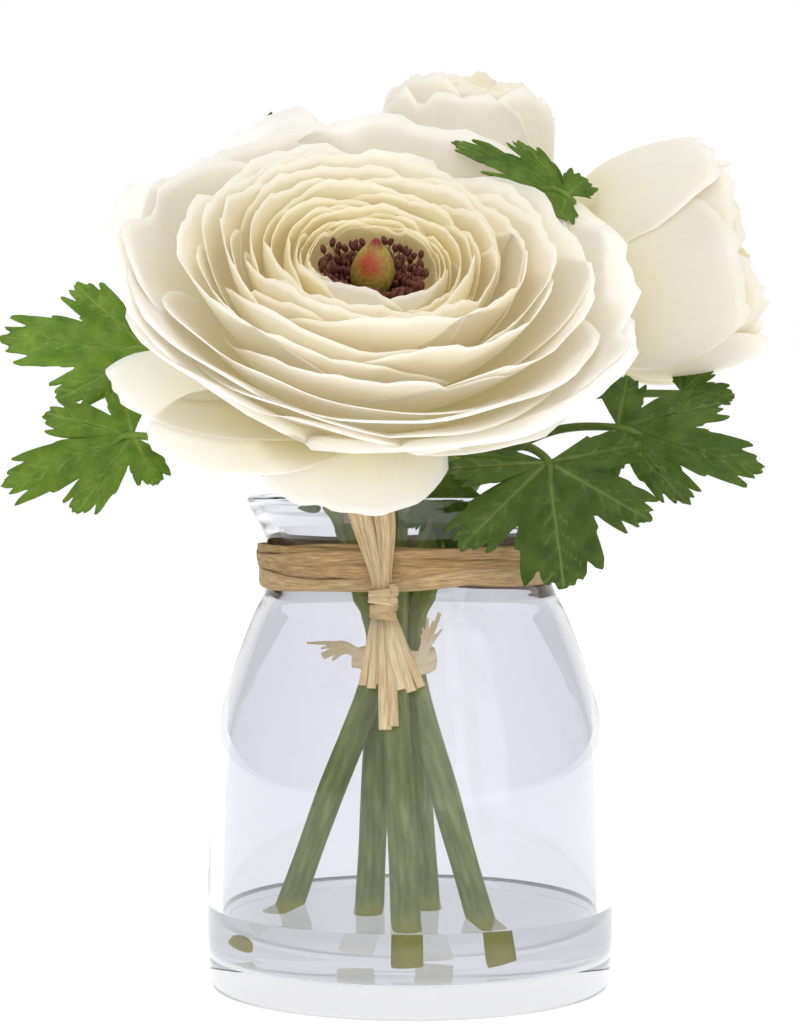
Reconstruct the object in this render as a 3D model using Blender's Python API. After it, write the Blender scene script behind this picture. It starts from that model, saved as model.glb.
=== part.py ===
"""Ranunculus bouquet standing in a clear glass jar vase, tied with raffia.

Three cream blooms, their stems and lobed leaves stand in shallow water. The origin is the
centre of the vase's underside, +Z is up and -Y is the side that the open bloom faces.
"""

import copy
import math

import bmesh
import bpy
from mathutils import Matrix, Vector

MM = 0.001

# Vase: outer radius at each height, from the foot to the lip, and its wall and base thickness.
VASE_OUTSIDE = [
    (35.2, 0.0), (37.0, 1.6), (38.2, 5.5), (38.7, 14.0), (38.2, 28.0), (37.8, 42.0), (36.9, 50.4),
    (35.0, 58.0), (32.8, 65.6), (30.6, 71.0), (28.2, 74.6), (27.2, 78.0), (27.3, 83.0),
    (28.6, 87.0), (30.4, 90.4), (30.9, 92.0),
]
VASE_WALL = 2.9
VASE_FLOOR = 5.4
VASE_FLOOR_FILLET = 4.0
VASE_LIP = 92.8
VASE_SEGMENTS = 40

WATER_LEVEL = 15.2
GAP = 0.3

# Stems: thickness, and the level where raffia ties them together.
STEM_RADIUS = 2.7
STEM_SIDES = 8
STEM_POINTS = 17
TIE_LEVEL = 61.0

PETAL_THICKNESS = 0.4
LEAF_THICKNESS = 0.5
PETIOLE_RADIUS = 0.9
GOLDEN_ANGLE = math.radians(137.508)

CREAM = (0.90, 0.86, 0.72)
PALE_GREEN = (0.55, 0.56, 0.22)
LEAF_GREEN = (0.10, 0.22, 0.04)
STEM_GREEN = (0.20, 0.27, 0.11)
STRAW = (0.62, 0.42, 0.20)


def mix(low, high, share):
    return low + (high - low) * share


def finish(name, colour, roughness, transmission=0.0):
    """A plain Principled material."""
    material = bpy.data.materials.get(name) or bpy.data.materials.new(name)
    material.use_nodes = True
    shader = material.node_tree.nodes["Principled BSDF"]
    shader.inputs["Base Color"].default_value = (*colour, 1.0)
    shader.inputs["Roughness"].default_value = roughness
    shader.inputs["Metallic"].default_value = 0.0
    shader.inputs["Transmission Weight"].default_value = transmission
    return material


def add_object(name, mesh, material):
    """Links a mesh, in millimetres, as a named object at its real size."""
    mesh.transform(Matrix.Scale(MM, 4))
    mesh.materials.append(material)
    mesh.shade_smooth()
    made = bpy.data.objects.new(name, mesh)
    bpy.context.scene.collection.objects.link(made)
    return made


def hide_helper(helper):
    """A cutter or a joined-in helper: it is used by a Boolean and isn't a piece itself."""
    helper.hide_render = True
    helper.display_type = "WIRE"


def add_boolean(target, helper, operation, solver="EXACT"):
    hide_helper(helper)
    boolean = target.modifiers.new(helper.name, "BOOLEAN")
    boolean.object = helper
    boolean.operation = operation
    boolean.solver = solver


def turned(name, profile, material, segments, axes=None):
    """Turns a profile about +Z. It runs down the outer side, top to bottom, in (radius, height)."""
    mesh = bpy.data.meshes.new(name)
    points = [(radius, 0.0, height) for radius, height in profile]
    mesh.from_pydata(points, [(i, i + 1) for i in range(len(points) - 1)], [])
    made = add_object(name, mesh, material)
    screw = made.modifiers.new("turn", "SCREW")
    screw.steps = segments
    screw.render_steps = segments
    screw.use_merge_vertices = True
    screw.merge_threshold = 1e-6
    screw.use_smooth_shade = True
    if axes is not None:
        made.matrix_world = scaled_frame(axes)
    return made


def scaled_frame(axes):
    """The same frame with its place in metres, for an object whose mesh is in metres."""
    placed = axes.copy()
    placed.translation = axes.translation * MM
    return placed


def frame_along(origin, up, facing=(0.0, 0.0, 1.0)):
    """A frame whose +Z is up and whose +X leans as near as it can to facing."""
    z_axis = Vector(up).normalized()
    x_axis = Vector(facing)
    x_axis = (x_axis - z_axis * x_axis.dot(z_axis)).normalized()
    y_axis = z_axis.cross(x_axis)
    frame = Matrix((x_axis, y_axis, z_axis)).transposed().to_4x4()
    frame.translation = Vector(origin)
    return frame


def smooth_route(controls, count):
    """Points at even steps of a Catmull-Rom curve through the controls."""
    route = [Vector(point) for point in controls]
    route = [route[0] * 2 - route[1], *route, route[-1] * 2 - route[-2]]
    spans = len(route) - 3
    points = []
    for step in range(count):
        place = spans * step / (count - 1)
        span = min(int(place), spans - 1)
        t = place - span
        a, b, c, d = route[span : span + 4]
        square = a * 2 - b * 5 + c * 4 - d
        cube = b * 3 - a - c * 3 + d
        points.append((b * 2 + (c - a) * t + square * t**2 + cube * t**3) / 2)
    return points


def sweep(name, points, size, material, sides=8, across=(0.0, 1.0, 0.0)):
    """Sweeps an ellipse along points and caps both ends. size gives (half width, half depth)
    at each share of the length, and the width lies as near as it can to across."""
    shape = bmesh.new()
    rings = []
    last = len(points) - 1
    side = Vector(across)
    for index, point in enumerate(points):
        along = (points[min(index + 1, last)] - points[max(index - 1, 0)]).normalized()
        side = (side - along * side.dot(along)).normalized()
        depth = along.cross(side)
        half_width, half_depth = size(index / last)
        ring = []
        for corner in range(sides):
            angle = 2 * math.pi * (corner + 0.5) / sides
            offset = side * (half_width * math.cos(angle)) + depth * (half_depth * math.sin(angle))
            ring.append(shape.verts.new(point + offset))
        rings.append(ring)
    for low, high in zip(rings, rings[1:]):
        for corner in range(sides):
            following = (corner + 1) % sides
            shape.faces.new((low[corner], low[following], high[following], high[corner]))
    shape.faces.new(reversed(rings[0]))
    shape.faces.new(rings[-1])
    bmesh.ops.recalc_face_normals(shape, faces=shape.faces)
    mesh = bpy.data.meshes.new(name)
    shape.to_mesh(mesh)
    shape.free()
    return add_object(name, mesh, material)


def sheet_from_grid(name, rows, material, thickness, fan=False):
    """A sheet through rows of points, thickened evenly to both sides. In a fan the first row
    is one shared point."""
    shape = bmesh.new()
    grid = []
    for number, row in enumerate(rows):
        if fan and number == 0:
            grid.append([shape.verts.new(row[0])] * len(row))
        else:
            grid.append([shape.verts.new(point) for point in row])
    for low, high in zip(grid, grid[1:]):
        for column in range(len(low) - 1):
            corners = (low[column], low[column + 1], high[column + 1], high[column])
            shape.faces.new(tuple(dict.fromkeys(corners)))
    mesh = bpy.data.meshes.new(name)
    shape.to_mesh(mesh)
    shape.free()
    made = add_object(name, mesh, material)
    solidify = made.modifiers.new("thickness", "SOLIDIFY")
    solidify.thickness = thickness * MM
    solidify.offset = 0.0
    return made


# Vase and water


def outer_radius(height):
    """The vase's outer radius at a height."""
    for (low_radius, low), (high_radius, high) in zip(VASE_OUTSIDE, VASE_OUTSIDE[1:]):
        if height <= high:
            return mix(low_radius, high_radius, max(0.0, (height - low) / (high - low)))
    return VASE_OUTSIDE[-1][0]


def floor_fillet(height):
    """How far the rounded corner between floor and wall stands in from the wall."""
    below_top = 1.0 - min(1.0, (height - VASE_FLOOR) / VASE_FLOOR_FILLET)
    return VASE_FLOOR_FILLET * (1.0 - math.sqrt(1.0 - below_top**2))


def inner_radius(height):
    return outer_radius(height) - VASE_WALL - floor_fillet(height)


def make_vase():
    inside = [(0.0, VASE_FLOOR)]
    for height in (VASE_FLOOR, VASE_FLOOR + 1.2, VASE_FLOOR + VASE_FLOOR_FILLET):
        inside.append((inner_radius(height), height))
    for radius, height in VASE_OUTSIDE:
        if height > VASE_FLOOR + VASE_FLOOR_FILLET:
            inside.append((radius - VASE_WALL, height))
    lip_middle = VASE_OUTSIDE[-1][0] - VASE_WALL / 2
    lip_flat = 0.6
    lip = [(lip_middle - lip_flat, VASE_LIP), (lip_middle + lip_flat, VASE_LIP)]
    outside = [(radius, height) for radius, height in reversed(VASE_OUTSIDE)]
    glass = finish("clear_glass", (0.93, 0.94, 0.97), 0.02, transmission=1.0)
    return turned("vase", [*inside, *lip, *outside, (0.0, 0.0)], glass, VASE_SEGMENTS)


def make_water(stem_routes):
    """The water round the stems, with a blind pocket for each stem."""
    bottom = VASE_FLOOR + GAP
    shoulder = VASE_FLOOR + VASE_FLOOR_FILLET
    clearance = GAP + 0.15
    profile = [
        (0.0, WATER_LEVEL),
        (inner_radius(WATER_LEVEL) - clearance, WATER_LEVEL),
        (inner_radius(shoulder) - clearance, shoulder),
        (inner_radius(VASE_FLOOR + 1.2) - 2 * clearance, VASE_FLOOR + 1.2),
        (inner_radius(VASE_FLOOR) - 2 * clearance, bottom),
        (0.0, bottom),
    ]
    clear = finish("water", (0.92, 0.95, 0.97), 0.0, transmission=1.0)
    water = turned("water", profile, clear, VASE_SEGMENTS)
    pocket = STEM_RADIUS + 0.4
    for name, route in stem_routes.items():
        foot = route[0] + (route[0] - route[1]).normalized() * GAP
        above = [point for point in route[1:] if point.z < WATER_LEVEL + 15.0]
        cutter = sweep(f"{name}_pocket", [foot, *above], lambda share: (pocket, pocket), clear, STEM_SIDES)
        add_boolean(water, cutter, "DIFFERENCE")


# Stems

STEM_CONTROLS = {
    "stem_main_bloom": [(-0.5, -23.0, 7.4), (-1.7, -14.0, 35), (-3.0, -6.2, TIE_LEVEL), (-3.0, -6.4, 80),
                        (-5.2, -8.4, 98), (-9.5, -15.4, 111.3)],
    "stem_back_bloom": [(-8.0, -4.0, 7.4), (-6.8, 1.2, 35), (-5.8, 5.4, TIE_LEVEL), (-3.6, 8.2, 82),
                        (1.0, 13.0, 108), (7.2, 25.0, 138.2)],
    "stem_right_bloom": [(3.5, 2.0, 7.4), (1.8, 3.6, 35), (-0.1, 4.9, TIE_LEVEL), (3.4, 6.4, 82),
                         (12.5, 9.2, 108), (22.0, 11.0, 124), (30.4, 11.8, 131.6)],
    "stem_left_leaves": [(-25.6, -1.0, 7.4), (-15.6, -1.0, 35), (-5.9, -1.0, TIE_LEVEL), (-8.8, -2.0, 76),
                         (-13.5, -3.0, 92), (-21.5, -4.4, 103)],
    "stem_right_leaves": [(15.0, -20.5, 7.4), (7.0, -9.8, 35), (-0.1, -1.0, TIE_LEVEL), (2.8, -2.6, 76),
                          (8.6, -7.6, 92), (14.6, -12.0, 102)],
}


def make_stems():
    """The stems, and their routes for what joins them."""
    green = finish("stem_green", STEM_GREEN, 0.5)
    routes = {name: smooth_route(points, STEM_POINTS) for name, points in STEM_CONTROLS.items()}
    for name, route in routes.items():
        sweep(name, route, lambda share: (STEM_RADIUS, STEM_RADIUS), green, STEM_SIDES)
    return routes


# Raffia


def make_ring(name, centre, half_sizes, thickness, low, high, material, segments):
    """An upright band round an ellipse, bulging outwards at the middle of its height."""
    shape = bmesh.new()
    middle = (low + high) / 2
    section = [(0.0, low), (thickness * 0.7, low), (thickness, middle), (thickness * 0.7, high), (0.0, high)]
    rings = []
    for step in range(segments):
        angle = 2 * math.pi * step / segments
        ring = []
        for stand_out, height in section:
            x = centre[0] + (half_sizes[0] + stand_out) * math.cos(angle)
            y = centre[1] + (half_sizes[1] + stand_out) * math.sin(angle)
            ring.append(shape.verts.new((x, y, height)))
        rings.append(ring)
    for step in range(segments):
        near, far = rings[step], rings[(step + 1) % segments]
        for corner in range(len(section)):
            following = (corner + 1) % len(section)
            shape.faces.new((near[corner], far[corner], far[following], near[following]))
    bmesh.ops.recalc_face_normals(shape, faces=shape.faces)
    mesh = bpy.data.meshes.new(name)
    shape.to_mesh(mesh)
    shape.free()
    return add_object(name, mesh, material)


def on_glass(x, height, stand_out):
    """A point in front of the vase's outside."""
    radius = outer_radius(height) + stand_out
    return Vector((x, -math.sqrt(radius**2 - x**2), height))


def make_raffia():
    straw = finish("raffia", STRAW, 0.7)
    band_low, band_high, band_thickness = 76.2, 83.6, 1.4
    neck = max(outer_radius(band_low), outer_radius(band_high)) + GAP + 0.1
    make_ring("raffia_neck_band", (0, 0), (neck, neck), band_thickness, band_low, band_high, straw, 40)
    make_ring("raffia_stem_tie", (-3.0, -0.6), (7.9, 10.4), 1.2, 59.6, 64.4, straw, 24)

    # Strands from the knot up over the neck band and the lip, and down inside the mouth.
    lip_front = VASE_OUTSIDE[-1][0]
    upright = [
        (-4.9, -31.6, 76.4), (-5.4, -30.6, 80.0), (-6.2, -31.2, 86.0), (-7.0, -33.0, 91.0),
        (-7.3, -lip_front + 0.4, VASE_LIP + 2.2), (-7.4, -25.4, VASE_LIP + 0.6), (-7.4, -23.2, 88.4),
    ]
    sweep(
        "raffia_upright_strands",
        smooth_route(upright, 15),
        lambda share: (mix(2.3, 4.4, min(1.0, share * 1.6)), 0.65),
        straw,
        across=(1, 0, 0),
    )

    knot = smooth_route([(-7.6, -31.2, 73.0), (-5.0, -32.6, 73.6), (-2.4, -31.6, 74.2)], 7)
    sweep(
        "raffia_knot",
        knot,
        lambda share: (mix(1.5, 2.2, math.sin(math.pi * share)), mix(0.9, 1.5, math.sin(math.pi * share))),
        straw,
        across=(0, 0, 1),
    )

    # Tails: (name, x at the knot, x at the end, end height, half widths at knot and end).
    tails = [
        ("raffia_tail_left", -6.7, -7.6, 59.6, 0.8, 1.3),
        ("raffia_tail_center", -4.7, -4.0, 51.8, 0.8, 1.9),
        ("raffia_tail_right", -2.7, 0.6, 59.0, 0.8, 2.2),
    ]
    for name, knot_x, end_x, end_height, knot_half, end_half in tails:
        route = []
        for step in range(7):
            share = step / 6
            route.append(on_glass(mix(knot_x, end_x, share), mix(70.6, end_height, share), 1.0))
        sweep(
            name,
            route,
            lambda share, a=knot_half, b=end_half: (mix(a, b, share), 0.6),
            straw,
            across=(1, 0, 0),
        )

    # Frayed ends of the stem tie.
    tufts = {
        "raffia_tuft_left": [(-9.4, -10.2, 62.6), (-12.5, -10.9, 64.6), (-16.8, -11.4, 64.0)],
        "raffia_tuft_right": [(2.4, -11.6, 62.8), (3.4, -12.4, 66.0), (4.6, -12.4, 69.6)],
    }
    for name, points in tufts.items():
        route = smooth_route(points, 6)
        sweep(name, route, lambda share: (mix(0.9, 2.6, share), mix(0.8, 1.0, share)), straw)


# Blooms


class Bloom:
    """A ranunculus head: petals on nested shells of revolution round one axis. Shares run from
    0, the innermost petal, to 1, the outermost. Pairs hold the value at those two.

    seat: height on the receptacle where petals start; seat_radius: its radius at the bottom.
    rim_radius, rim_height: where petals end, with rim_height's value half way between.
    start_lean, end_lean: a petal's lean from the axis, in degrees, at its seat and its rim.
    handles: how far each end's lean carries, as a share of the petal's reach.
    width: half the petal's width. nod: how far rims lift above the axis and droop below it.
    """

    def __init__(self, name, centre, up, petals, seat, seat_radius, rim_radius, rim_height,
                 start_lean, end_lean, handles, width, nod=(0.0, 0.0), first_turn=180):
        self.name = name
        self.axes = frame_along(centre, up)
        self.petals = petals
        self.seat = seat
        self.seat_radius = seat_radius
        self.rim_radius = rim_radius
        self.rim_height = rim_height
        self.start_lean = start_lean
        self.end_lean = end_lean
        self.handles = handles
        self.width = width
        self.nod = nod
        self.first_turn = math.radians(first_turn)

    def receptacle_radius(self, height):
        top, bottom = self.seat
        return self.seat_radius * mix(1.0, 0.78, (height - bottom) / (top - bottom))

    def shell_point(self, share, along):
        """(radius, height) on a petal's shell, from its seat, 0, to its rim, 1."""
        height = mix(*self.seat, share**0.8)
        start = Vector((self.receptacle_radius(height) + 0.55, height))
        low, middle, high = self.rim_height
        end_height = low * (1 - share) ** 2 + 2 * middle * share * (1 - share) + high * share**2
        end = Vector((mix(*self.rim_radius, share), end_height))
        reach = (end - start).length
        start_lean = math.radians(mix(*self.start_lean, share**0.7))
        end_lean = math.radians(mix(*self.end_lean, share))
        first = start + Vector((math.sin(start_lean), math.cos(start_lean))) * (reach * self.handles[0])
        second = end - Vector((math.sin(end_lean), math.cos(end_lean))) * (reach * self.handles[1])
        rest = 1 - along
        return (
            start * rest**3 + first * (3 * rest**2 * along) + second * (3 * rest * along**2) + end * along**3
        )

    def sway(self, share, along, angle):
        """How far a rim is lifted on the bloom's upper side and droops on its lower side."""
        lift, droop = self.nod
        upward = math.cos(angle)
        return (lift if upward > 0 else -droop) * upward**2 * share**3 * along**2

    def petal_rows(self, share, turn, steps):
        """Rows of points from the petal's seat to its rounded tip."""
        rows = []
        for row in range(steps + 1):
            up_petal = row / steps
            narrow = 0.30 + 0.70 * math.sin(math.pi / 2 * min(1.0, up_petal / 0.68))
            points = []
            for column in range(steps + 1):
                across = 2 * column / steps - 1
                along = up_petal * (1 - 0.20 * abs(across) ** 2.4)
                radius, height = self.shell_point(share, along)
                half_angle = min(mix(*self.width, share**0.8) * narrow / max(radius, 3.5), 1.12)
                angle = turn + across * half_angle
                height += self.sway(share, along, angle)
                local = Vector((radius * math.cos(angle), radius * math.sin(angle), height))
                points.append(self.axes @ local)
            rows.append(points)
        return rows

    def make_petals(self, material):
        for number in range(self.petals):
            share = number / (self.petals - 1)
            rows = self.petal_rows(share, self.first_turn + number * GOLDEN_ANGLE, 5)
            sheet_from_grid(f"{self.name}_petal_{number + 1:02d}", rows, material, PETAL_THICKNESS)

    def make_guard_petal(self, number, turn, seat_height, radius, height, half_width, material):
        """One petal that lies on a lower shell than the ring's."""
        shell = copy.copy(self)
        shell.seat = (self.seat[0], seat_height)
        shell.rim_radius = (radius, radius)
        shell.rim_height = (height, height, height)
        shell.start_lean = (GUARD_SEAT_LEAN, GUARD_SEAT_LEAN)
        shell.end_lean = (GUARD_RIM_LEAN, GUARD_RIM_LEAN)
        shell.width = (half_width, half_width)
        shell.nod = (0.0, 0.0)
        rows = shell.petal_rows(1.0, math.radians(turn), 5)
        sheet_from_grid(f"{self.name}_petal_{number:02d}", rows, material, PETAL_THICKNESS)

    def make_receptacle(self, material):
        top, bottom = self.seat
        wide = self.seat_radius
        profile = [
            (0.0, top + 0.8),
            (wide * 0.70, top + 0.8),
            (wide * 0.78, top),
            (wide, bottom),
            (wide * 0.66, bottom - 1.6),
            (0.0, bottom - 1.6),
        ]
        turned(f"{self.name}_receptacle", profile, material, 16, self.axes)


MAIN_BLOOM = Bloom(
    name="main_bloom",
    centre=(-9.0, -19.5, 117.2),
    up=(0.11, -0.585, 0.805),
    petals=15,
    seat=(6.5, -4.5),
    seat_radius=5.0,
    rim_radius=(10.6, 48.0),
    rim_height=(23.0, 31.0, 23.5),
    start_lean=(40, 92),
    end_lean=(-24, 52),
    handles=(0.42, 0.38),
    width=(12.0, 33.0),
    nod=(0.0, 4.5),
    first_turn=140,
)
# The main bloom's guard petals stand out low under its ring, each on a shell of its own.
# Each one: (number, turn in degrees, seat height, rim radius, rim height, half width).
GUARD_PETALS = [
    (16, 106.5, -5.5, 51.0, 4.0, 14.5),
    (17, 131.0, -6.7, 48.0, 0.5, 15.0),
    (18, 172.0, -7.9, 41.0, -4.2, 16.5),
]
GUARD_SEAT_LEAN = 98
GUARD_RIM_LEAN = 78
RIGHT_BLOOM = Bloom(
    name="right_bloom",
    centre=(34.6, 12.2, 134.2),
    up=(0.93, -0.04, 0.30),
    petals=6,
    seat=(2.2, -2.2),
    seat_radius=4.0,
    rim_radius=(9.0, 20.5),
    rim_height=(30.0, 33.0, 28.0),
    start_lean=(62, 96),
    end_lean=(-34, -12),
    handles=(0.52, 0.46),
    width=(15.0, 22.5),
)
BACK_BLOOM = Bloom(
    name="back_bloom",
    centre=(8.0, 26.4, 142.2),
    up=(0.10, 0.16, 1.0),
    petals=6,
    seat=(2.2, -2.2),
    seat_radius=3.8,
    rim_radius=(8.0, 17.6),
    rim_height=(32.0, 36.0, 28.0),
    start_lean=(60, 94),
    end_lean=(-34, -8),
    handles=(0.50, 0.42),
    width=(13.5, 19.5),
)


def make_main_bloom_heart():
    """The pistil and the cup of stamens round it."""
    top = MAIN_BLOOM.seat[0] + 0.8 + GAP
    stalk = 7.0
    egg = [(0.0, 13.4), (1.2, 12.9), (3.4, 9.8), (4.5, 6.2), (4.1, 3.2), (2.4, 0.0), (0.0, 0.0)]
    yellow = finish("pistil", (0.58, 0.48, 0.12), 0.45)
    turned("main_bloom_pistil", [(r, top + stalk + h) for r, h in egg], yellow, 16, MAIN_BLOOM.axes)
    cup = [(0.0, 0.0), (0.0, stalk - GAP), (3.0, stalk - GAP), (5.0, 9.0), (5.4, 12.5)]
    cup += [(6.4, 12.5), (6.2, 8.0), (4.2, 0.0), (0.0, 0.0)]
    maroon = finish("stamens", (0.16, 0.03, 0.02), 0.6)
    turned("main_bloom_stamens", [(r, top + h) for r, h in cup], maroon, 24, MAIN_BLOOM.axes)


def make_blooms():
    cream = finish("petal_cream", CREAM, 0.55)
    pale_green = finish("receptacle_green", PALE_GREEN, 0.5)
    for bloom in (MAIN_BLOOM, RIGHT_BLOOM, BACK_BLOOM):
        bloom.make_receptacle(pale_green)
        bloom.make_petals(cream)
    for number, turn, seat_height, radius, height, half_width in GUARD_PETALS:
        MAIN_BLOOM.make_guard_petal(number, turn, seat_height, radius, height, half_width, cream)
    make_main_bloom_heart()


# Leaves

# Lobes of a leaf: angle from its midrib in degrees, share of its length, half width in degrees.
LOBES = [(0, 1.0, 30), (46, 0.84, 24), (-46, 0.84, 24), (94, 0.60, 26), (-94, 0.60, 26)]


def leaf_reach(degrees):
    """How far the blade reaches in a direction, as a share of the leaf's length."""
    reach = 0.30
    for middle, share, half_width in LOBES:
        across = abs(degrees - middle) / half_width
        if across < 1:
            reach = max(reach, share * (1 - across**2) ** 0.55)
    return reach


def make_leaf(name, base, tip, facing, droop, cup, petiole, breadth=1.0):
    """A lobed blade from base to tip that faces a direction, joined to its petiole, whose
    points run from the stem to the blade."""
    green = finish("leaf_green", LEAF_GREEN, 0.45)
    base = Vector(base)
    along = Vector(tip) - base
    axes = frame_along(base, facing, along)
    length = along.length
    widest = 122.0
    rays = 22
    rows = [[base.copy()] * (rays + 1)]
    for part in (0.4, 0.72, 1.0):
        row = []
        for ray in range(rays + 1):
            degrees = mix(-widest, widest, ray / rays)
            reach = leaf_reach(degrees) * part
            angle = math.radians(degrees)
            x = reach * math.cos(angle)
            y = reach * math.sin(angle) * breadth
            bend = -droop * x * abs(x) + cup * y**2
            row.append(axes @ Vector((x * length, y * length, bend * length)))
        rows.append(row)
    blade = sheet_from_grid(name, rows, green, LEAF_THICKNESS, fan=True)
    inner = axes @ Vector((length * 0.22, 0, -0.35))
    stalk = smooth_route([*petiole, base, inner], 9)
    rib = sweep(
        f"{name}_petiole", stalk, lambda share: (PETIOLE_RADIUS, PETIOLE_RADIUS), green, sides=6,
        across=(0.13, 0.31, 0.94),
    )
    # EXACT finds no faces where the petiole grazes the blade.
    add_boolean(blade, rib, "UNION", "MANIFOLD")


def beside(route, height, toward):
    """A point just off a stem's surface at a height, on its side toward a direction, and one
    a little further out, so that a petiole leaves the stem squarely."""
    for low, high in zip(route, route[1:]):
        if low.z <= height <= high.z:
            centre = low.lerp(high, (height - low.z) / (high.z - low.z))
            along = (high - low).normalized()
            out = Vector(toward)
            out = (out - along * out.dot(along)).normalized()
            return [centre + out * (STEM_RADIUS + 0.6), centre + out * (STEM_RADIUS + 2.4)]
    raise ValueError(f"the stem has no point at height {height}")


def make_leaves(routes):
    left, right = routes["stem_left_leaves"], routes["stem_right_leaves"]
    main, back, side = routes["stem_main_bloom"], routes["stem_back_bloom"], routes["stem_right_bloom"]
    make_leaf(
        "leaf_left_upper", (-49.0, -7.0, 120.0), (-76.0, -11.0, 124.0), (0.1, -0.93, 0.36), 0.10, 0.18,
        [*beside(left, 101.0, (-0.6, 0.1, 1)), (-34.0, -6.5, 112.0)],
        breadth=0.75,
    )
    make_leaf(
        "leaf_left_lower", (-51.0, -17.0, 104.0), (-74.5, -21.0, 96.0), (0.0, -0.96, 0.28), 0.12, 0.16,
        [*beside(left, 95.0, (-1, -0.2, 0.2)), (-34.0, -11.0, 101.0)],
        breadth=0.7,
    )
    make_leaf(
        "leaf_front_right", (23.5, -31.5, 99.6), (26.2, -35.5, 77.0), (0.0, -1.0, 0.12), 0.05, 0.06,
        [*beside(right, 99.0, (0.4, -1, 0.2)), (19.5, -22.5, 102.0)],
        breadth=1.15,
    )
    make_leaf(
        "leaf_right", (38.5, -13.0, 105.6), (66.6, -18.0, 97.4), (-0.1, -0.95, 0.30), 0.10, 0.12,
        [*beside(side, 100.0, (1, -0.6, 0.1)), (27.0, -4.0, 105.0)],
        breadth=0.62,
    )
    make_leaf(
        "leaf_right_small", (52.0, 4.0, 112.5), (62.0, 2.0, 114.0), (0.0, -0.8, 0.6), 0.10, 0.12,
        [*beside(side, 112.0, (1, -0.2, -0.6)), (36.0, 7.0, 112.0)],
    )
    make_leaf(
        "leaf_crown", (30.4, -7.0, 151.0), (9.0, -3.6, 163.6), (0.1, -0.9, 0.42), 0.14, 0.30,
        [*beside(side, 120.0, (0.3, -1, 0.5)), (27.5, 2.5, 136.0), (34.0, -2.5, 147.0)],
        breadth=0.5,
    )
    make_leaf(
        "leaf_neck", (5.0, -16.5, 96.5), (8.0, -20.0, 82.5), (0.0, -1.0, 0.0), 0.04, 0.10,
        [*beside(main, 88.0, (1, -0.8, 0)), (3.5, -11.5, 94.0)],
        breadth=0.8,
    )
    make_leaf(
        "leaf_back", (-18.0, 15.0, 142.5), (-26.0, 13.0, 168.0), (-0.2, -0.9, -0.3), 0.06, 0.14,
        [*beside(back, 104.0, (-1, 0.5, 0.2)), (-11.0, 17.0, 122.0)],
        breadth=0.7,
    )


def main():
    for startup_object in list(bpy.data.objects):
        bpy.data.objects.remove(startup_object)
    make_vase()
    routes = make_stems()
    make_water(routes)
    make_raffia()
    make_blooms()
    make_leaves(routes)


main()
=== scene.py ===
"""The looks of a ranunculus bouquet in a glass jar vase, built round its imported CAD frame.

Shapes are made in millimetres, in the row frame: the vase's axis is +Z and the open bloom faces -Y.
"""

import math
import random

import bpy
import numpy as np
from mathutils import Matrix, Vector


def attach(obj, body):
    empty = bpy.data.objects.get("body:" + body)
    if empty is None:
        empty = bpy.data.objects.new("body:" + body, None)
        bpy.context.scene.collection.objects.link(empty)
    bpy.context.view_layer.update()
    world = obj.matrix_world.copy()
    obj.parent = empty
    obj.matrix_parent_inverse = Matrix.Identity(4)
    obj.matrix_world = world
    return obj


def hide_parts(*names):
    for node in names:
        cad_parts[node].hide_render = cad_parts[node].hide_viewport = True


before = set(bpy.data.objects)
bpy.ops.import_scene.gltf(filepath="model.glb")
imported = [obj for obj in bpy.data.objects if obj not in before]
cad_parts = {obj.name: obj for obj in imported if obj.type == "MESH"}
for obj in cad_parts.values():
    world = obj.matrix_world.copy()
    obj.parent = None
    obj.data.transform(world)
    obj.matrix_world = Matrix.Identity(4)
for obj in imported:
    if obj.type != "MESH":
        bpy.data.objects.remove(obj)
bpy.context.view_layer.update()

MM = 0.001
GOLDEN_ANGLE = math.radians(137.508)

# The vase's outside as (radius, height), its wall, floor, lip and contents.
VASE_OUTSIDE = [
    (37.0, 0.0), (37.8, 0.7), (38.35, 6.0), (38.6, 14.0), (38.2, 28.0), (37.6, 42.0), (36.4, 50.4),
    (34.2, 58.0), (31.6, 65.6), (29.4, 71.0), (27.5, 74.6), (26.7, 78.0), (26.9, 83.0), (28.4, 87.0),
    (30.4, 90.4), (30.9, 92.0),
]
VASE_WALL = 2.9
VASE_FLOOR = 5.4
VASE_FLOOR_FILLET = 4.0
VASE_LIP = 92.8
WATER_LEVEL = 15.2
STEM_RADIUS = 2.7
TIE_LEVEL = 61.0
PETIOLE_RADIUS = 0.9

STEM_CONTROLS = {
    "stem_main_bloom": [(-0.5, -23.0, 7.4), (-1.7, -14.0, 35), (-3.0, -6.2, TIE_LEVEL), (-3.0, -6.4, 80),
                        (-5.2, -8.4, 98), (-9.5, -15.4, 111.3)],
    "stem_back_bloom": [(-8.0, -4.0, 7.4), (-6.8, 1.2, 35), (-5.8, 5.4, TIE_LEVEL), (-3.6, 8.2, 82),
                        (1.0, 13.0, 108), (7.2, 25.0, 138.2)],
    "stem_right_bloom": [(3.5, 2.0, 7.4), (1.8, 3.6, 35), (-0.1, 4.9, TIE_LEVEL), (3.4, 6.4, 82),
                         (12.5, 9.2, 108), (22.0, 11.0, 124), (30.4, 11.8, 131.6)],
    "stem_left_leaves": [(-25.6, -1.0, 7.4), (-15.6, -1.0, 35), (-5.9, -1.0, TIE_LEVEL), (-8.8, -2.0, 76),
                         (-13.5, -3.0, 92), (-21.5, -4.4, 103)],
    "stem_right_leaves": [(15.0, -20.5, 7.4), (7.0, -9.8, 35), (-0.1, -1.0, TIE_LEVEL), (2.8, -2.6, 76),
                          (8.6, -7.6, 92), (14.6, -12.0, 102)],
}


def mix(low, high, share):
    return low + (high - low) * share


def bell(value, middle, width):
    return np.exp(-(((value - middle) / width) ** 2))


# Shape helpers


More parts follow.
